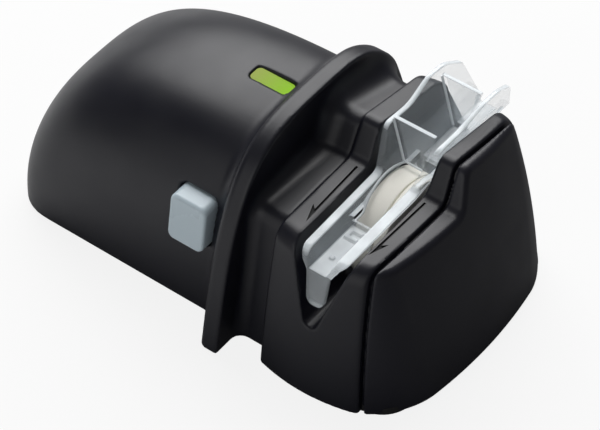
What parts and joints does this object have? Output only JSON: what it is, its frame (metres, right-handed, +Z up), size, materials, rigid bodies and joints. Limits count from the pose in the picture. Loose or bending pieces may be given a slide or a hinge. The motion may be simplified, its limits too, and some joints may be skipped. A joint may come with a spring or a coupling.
{
  "type": "electric knife sharpener",
  "caption": "Battery knife sharpener: domed grip with flange, stepped slot unit, clear lift-out knife guide over a motor-driven abrasive wheel, push button and lit window.",
  "frame": {"origin": "centre of the footprint, on the plane that the feet stand on", "axes": "+X from the grip's rear to the nose, +Y across, away from the push button, +Z up"},
  "size_m": [0.1557, 0.1018, 0.0697],
  "materials": {
    "black_housing": "satin",
    "black_nose": "satin",
    "black_base": "matte",
    "clear_guide": "gloss",
    "pale_chamber": "satin",
    "felt": "matte",
    "grey_inner": "satin",
    "black_inner": "satin",
    "cell_jacket": "satin",
    "steel": "satin",
    "motor_steel": "satin",
    "brass": "satin",
    "white_gear": "satin",
    "abrasive": "matte",
    "button_grey": "satin",
    "green_window": "gloss",
    "board_green": "satin",
    "lamp_clear": "gloss",
    "rubber_foot": "matte"
  },
  "bodies": {
    "housing": {"grip_housing": "black_housing", "slot_housing": "black_housing", "nose_cover": "black_nose", "base_plate": "black_base", "wheel_chamber": "pale_chamber", "dust_seal": "felt", "battery_tray": "grey_inner", "cell_1": "cell_jacket", "cell_2": "cell_jacket", "cell_3": "cell_jacket", "cell_4": "cell_jacket", "contact_leaves": "steel", "contact_plates": "steel", "motor_can": "motor_steel", "motor_end_cap": "grey_inner", "motor_terminals": "brass", "drive_frame": "grey_inner", "rear_bush": "brass", "front_bush": "brass", "frame_screws": "steel", "motor_screws": "steel", "switch_body": "black_inner", "button_spring": "steel", "switch_holder": "grey_inner", "holder_screws": "steel", "window_lens": "green_window", "lamp_board": "board_green", "board_screws": "steel", "lamp_led": "lamp_clear", "base_screws": "steel", "rubber_feet": "rubber_foot"},
    "guide": {"knife_guide": "clear_guide"},
    "door": {"battery_door": "black_base"},
    "button": {"push_button": "button_grey", "switch_plunger": "white_gear"},
    "wheel": {"wheel_shaft": "steel", "wheel_gear": "white_gear", "wheel_hub": "white_gear", "rear_wheel_ring": "abrasive", "front_wheel_ring": "abrasive", "wheel_spacer": "steel", "wheel_nut": "steel"},
    "rotor": {"motor_shaft": "steel", "motor_pinion": "brass"}
  },
  "joints": [
    {"name": "guide_lift", "type": "slide", "parent": "housing", "child": "guide", "axis": [0, 0, 1], "range_m": [0, 0.045]},
    {"name": "door_slide", "type": "slide", "parent": "housing", "child": "door", "axis": [-1, 0, 0], "range_m": [0, 0.082]},
    {"name": "button_press", "type": "slide", "parent": "housing", "child": "button", "axis": [0, 1, 0], "range_m": [0, 0.0022], "stiffness_N_per_m": 600, "springref_m": -0.0008, "deforming": ["button_spring"]},
    {"name": "wheel_spin", "type": "hinge", "parent": "housing", "child": "wheel", "pos_m": [0.045, -0.001, 0.0323], "axis": [1, 0, 0], "continuous": true},
    {"name": "motor_spin", "type": "hinge", "parent": "housing", "child": "rotor", "pos_m": [0.015, 0.00972, 0.0413], "axis": [1, 0, 0], "continuous": true}
  ],
  "couplings": [
    {"joint": "motor_spin", "follows": "wheel_spin", "ratio": -3}
  ]
}
